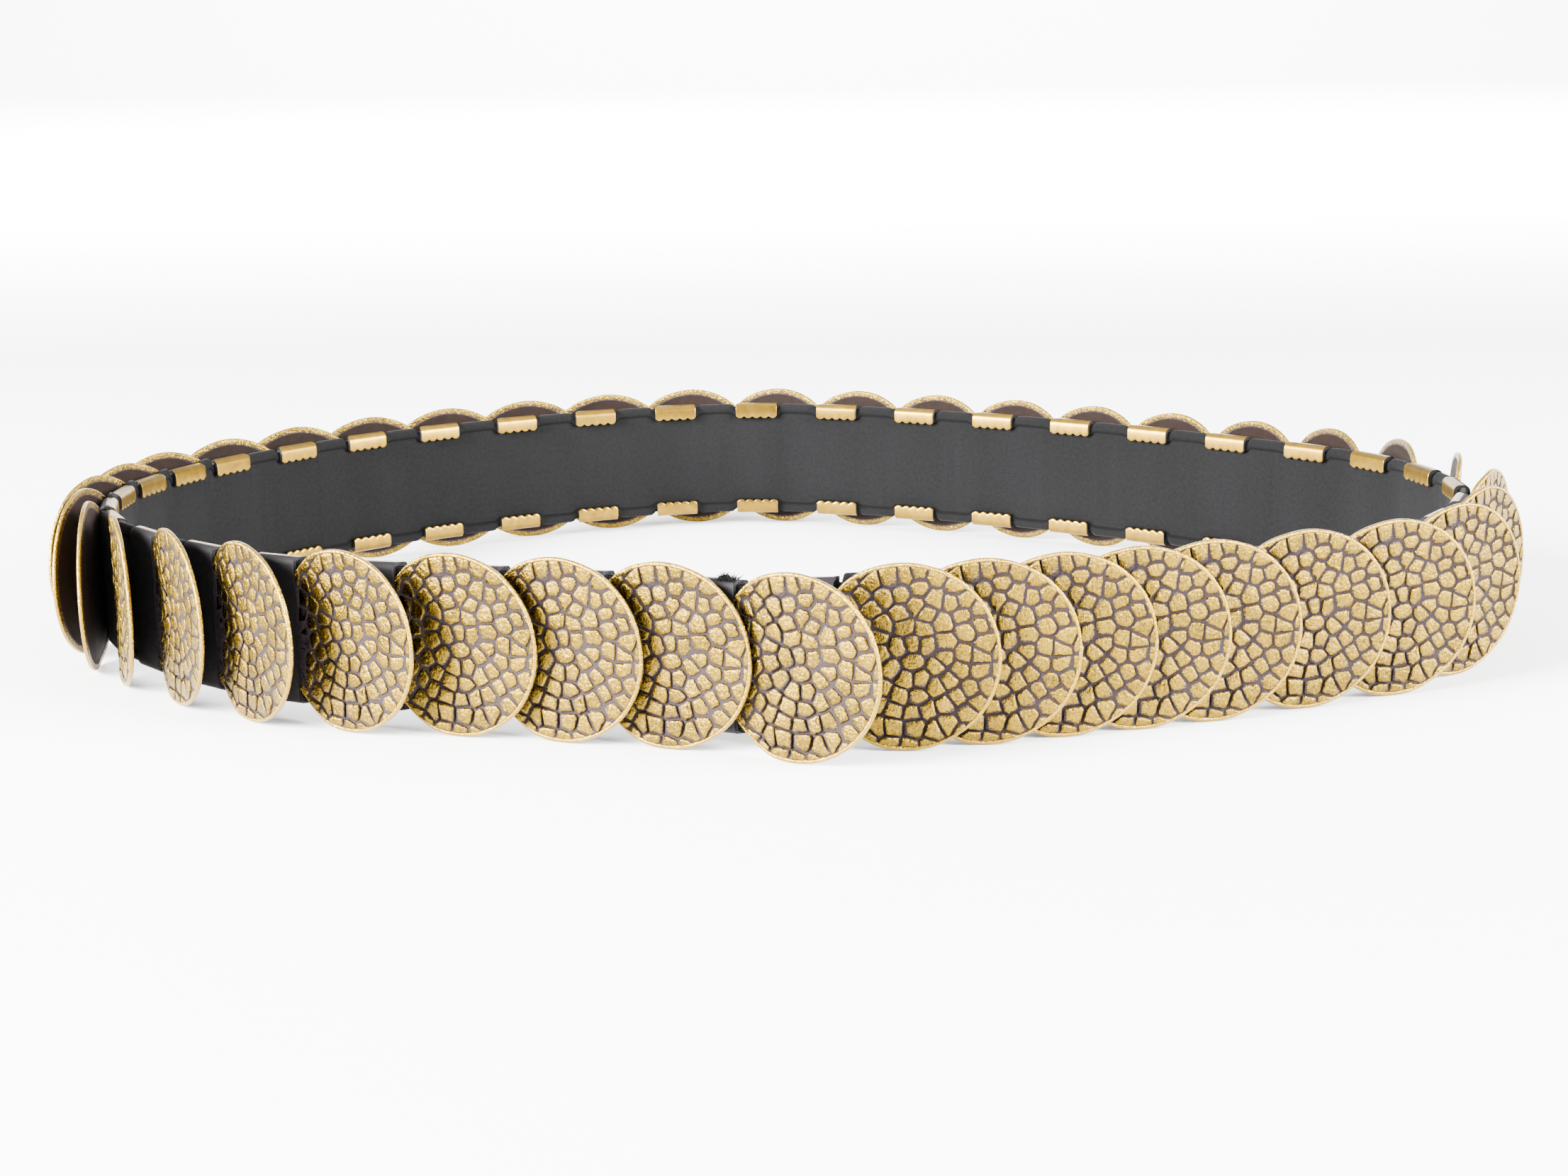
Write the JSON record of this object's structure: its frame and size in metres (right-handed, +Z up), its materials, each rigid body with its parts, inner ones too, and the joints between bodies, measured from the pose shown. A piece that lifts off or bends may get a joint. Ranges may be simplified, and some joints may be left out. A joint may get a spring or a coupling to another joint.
{
  "type": "coin belt",
  "caption": "Round overlapping stamped metal plates clipped side by side on a wide black elastic band that closes in a ring, standing on edge.",
  "frame": {"origin": "on the floor under the middle of the standing ring's bounding box", "axes": "+Z up, across the belt's width; +X along the oval's long way, to the right seen from the front; -Y towards the front, where the closure is"},
  "size_m": [0.3576, 0.2736, 0.04],
  "materials": {
    "plate_brass": "antiqued, satin high spots over a dark patina",
    "elastic": "woven, matt",
    "closure_brass": "satin"
  },
  "bodies": {
    "root": {"elastic_band": "elastic", "closure_eye": "closure_brass", "closure_hook": "closure_brass", "plate_01": "plate_brass", "plate_02": "plate_brass", "plate_03": "plate_brass", "plate_04": "plate_brass", "plate_05": "plate_brass", "plate_06": "plate_brass", "plate_07": "plate_brass", "plate_08": "plate_brass", "plate_09": "plate_brass", "plate_10": "plate_brass", "plate_11": "plate_brass", "plate_12": "plate_brass", "plate_13": "plate_brass", "plate_14": "plate_brass", "plate_15": "plate_brass", "plate_16": "plate_brass", "plate_17": "plate_brass", "plate_18": "plate_brass", "plate_19": "plate_brass", "plate_20": "plate_brass", "plate_21": "plate_brass", "plate_22": "plate_brass", "plate_23": "plate_brass", "plate_24": "plate_brass", "plate_25": "plate_brass", "plate_26": "plate_brass", "plate_27": "plate_brass", "plate_28": "plate_brass", "plate_29": "plate_brass", "plate_30": "plate_brass", "plate_31": "plate_brass", "plate_32": "plate_brass", "plate_33": "plate_brass", "plate_34": "plate_brass", "plate_35": "plate_brass", "plate_36": "plate_brass", "plate_37": "plate_brass", "plate_38": "plate_brass", "plate_39": "plate_brass", "plate_40": "plate_brass"}
  },
  "joints": []
}
